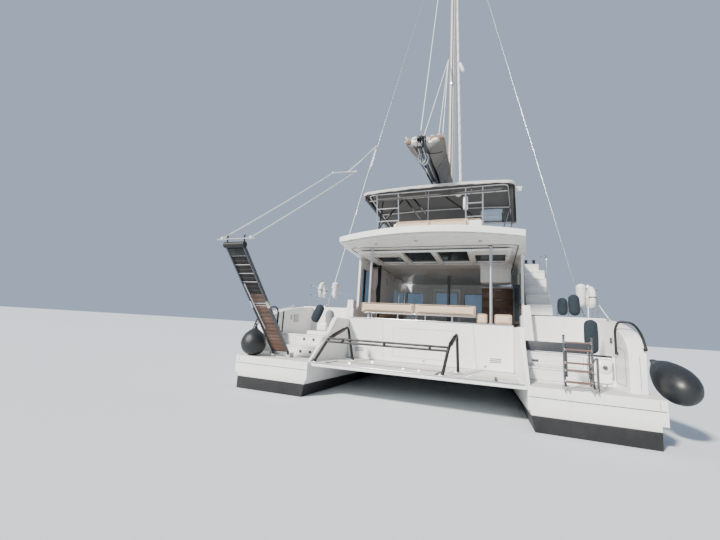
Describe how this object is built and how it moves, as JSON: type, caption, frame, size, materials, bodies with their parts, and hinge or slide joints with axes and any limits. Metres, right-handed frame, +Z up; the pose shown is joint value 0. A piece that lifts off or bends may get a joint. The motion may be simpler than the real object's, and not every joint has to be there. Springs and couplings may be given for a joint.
{
  "type": "sailing catamaran",
  "caption": "Cruising sailing catamaran afloat: two hulls, hardtop saloon with a lift-up stern door, flybridge with bimini, mast, boom with sail bag, passerelle and boarding ladder.",
  "frame": {"origin": "on the centreline, on the waterline, in the plane of the transoms", "axes": "+X to starboard, +Y forward, +Z up"},
  "size_m": [8.0702, 15.6669, 21.562],
  "materials": {
    "gelcoat": "glossy white gelcoat",
    "deck": "off-white non-slip deck",
    "glass": "tinted",
    "stainless": "polished tube",
    "aluminium": "painted and anodised",
    "black_tube": "satin black",
    "canvas": "grey acrylic canvas",
    "cushion": "tan woven cover",
    "sailcloth": "sailcloth",
    "wood": "weathered boards",
    "cabinet": "dark veneer",
    "fender": "black inflated vinyl",
    "bottom_paint": "dark antifouling",
    "bronze": "dull bronze"
  },
  "bodies": {
    "boat": {"starboard_hull": "gelcoat", "port_hull": "gelcoat", "bridgedeck": "gelcoat", "aft_platform": "deck", "cockpit_bulkhead": "gelcoat", "foredeck": "gelcoat", "starboard_cabin_wall": "gelcoat", "port_cabin_wall": "gelcoat", "starboard_cabin_glass": "glass", "port_cabin_glass": "glass", "front_cabin_wall": "gelcoat", "port_front_glass": "glass", "starboard_front_glass": "glass", "hardtop": "gelcoat", "port_post": "stainless", "starboard_post": "stainless", "flybridge_stairs": "gelcoat", "stair_rail": "stainless", "cockpit_bench": "gelcoat", "bench_backrest": "cushion", "galley_cabinet": "cabinet", "saloon_sofa": "cushion", "flybridge_bench": "gelcoat", "flybridge_cushion": "cushion", "helm_console": "gelcoat", "helm_seat": "cushion", "bimini_top": "canvas", "bimini_frame": "stainless", "mast": "aluminium", "mast_post": "stainless", "stays": "stainless", "forestay_toggle": "stainless", "passerelle_socket": "stainless", "ladder_bracket": "stainless", "tender_rail": "black_tube", "starboard_fender": "fender", "port_fender": "fender", "starboard_guard_rail": "stainless", "port_guard_rail": "stainless", "starboard_grab_rail": "black_tube", "port_grab_rail": "black_tube", "starboard_saildrive": "bottom_paint", "port_saildrive": "bottom_paint"},
    "boom_and_bag": {"boom": "aluminium", "sail_bag": "canvas"},
    "headsail": {"furled_headsail": "sailcloth"},
    "stern_door": {"stern_door": "gelcoat", "stern_door_glass": "glass"},
    "front_door": {"front_door": "gelcoat"},
    "passerelle": {"passerelle": "wood"},
    "boarding_ladder": {"boarding_ladder": "stainless"},
    "steering_wheel": {"steering_wheel": "stainless"},
    "starboard_rudder": {"starboard_rudder": "bottom_paint"},
    "port_rudder": {"port_rudder": "bottom_paint"},
    "starboard_propeller": {"starboard_propeller": "bronze"},
    "port_propeller": {"port_propeller": "bronze"}
  },
  "joints": [
    {"name": "boom_swing", "type": "hinge", "parent": "boat", "child": "boom_and_bag", "pos_m": [0, 5.93, 5.56], "axis": [0, 0, 1], "range_deg": [-38, 38]},
    {"name": "headsail_furl", "type": "hinge", "parent": "boat", "child": "headsail", "pos_m": [0, 12.5, 2.092], "axis": [0, -0.354, 0.9352], "continuous": true},
    {"name": "stern_door_hinge", "type": "hinge", "parent": "boat", "child": "stern_door", "pos_m": [0, 2, 3.35], "axis": [1, 0, 0], "range_deg": [-90, 0]},
    {"name": "front_door_hinge", "type": "hinge", "parent": "boat", "child": "front_door", "pos_m": [-0.892, 8.592, 2.28], "axis": [0, 0, 1], "range_deg": [0, 90]},
    {"name": "passerelle_hinge", "type": "hinge", "parent": "boat", "child": "passerelle", "pos_m": [-2.885, 0.47, 0.73], "axis": [1, 0, 0], "range_deg": [-35, 50]},
    {"name": "ladder_hinge", "type": "hinge", "parent": "boat", "child": "boarding_ladder", "pos_m": [2.66, -0.06, 0.72], "axis": [1, 0, 0], "range_deg": [0, 172]},
    {"name": "starboard_rudder_turn", "type": "hinge", "parent": "boat", "child": "starboard_rudder", "pos_m": [2.83, 1, -0.6], "axis": [0, 0, 1], "range_deg": [-36, 36]},
    {"name": "port_rudder_turn", "type": "hinge", "parent": "boat", "child": "port_rudder", "pos_m": [-2.83, 1, -0.6], "axis": [0, 0, 1], "range_deg": [-36, 36]},
    {"name": "wheel_turn", "type": "hinge", "parent": "boat", "child": "steering_wheel", "pos_m": [1.15, 4.82, 4.42], "axis": [0, 1, 0], "range_deg": [-540, 540]},
    {"name": "starboard_propeller_spin", "type": "hinge", "parent": "boat", "child": "starboard_propeller", "pos_m": [2.83, 2.29, -0.82], "axis": [0, 1, 0], "continuous": true},
    {"name": "port_propeller_spin", "type": "hinge", "parent": "boat", "child": "port_propeller", "pos_m": [-2.83, 2.29, -0.82], "axis": [0, 1, 0], "continuous": true}
  ],
  "couplings": [
    {"joint": "port_rudder_turn", "follows": "starboard_rudder_turn", "ratio": 1},
    {"joint": "wheel_turn", "follows": "starboard_rudder_turn", "ratio": 15}
  ]
}
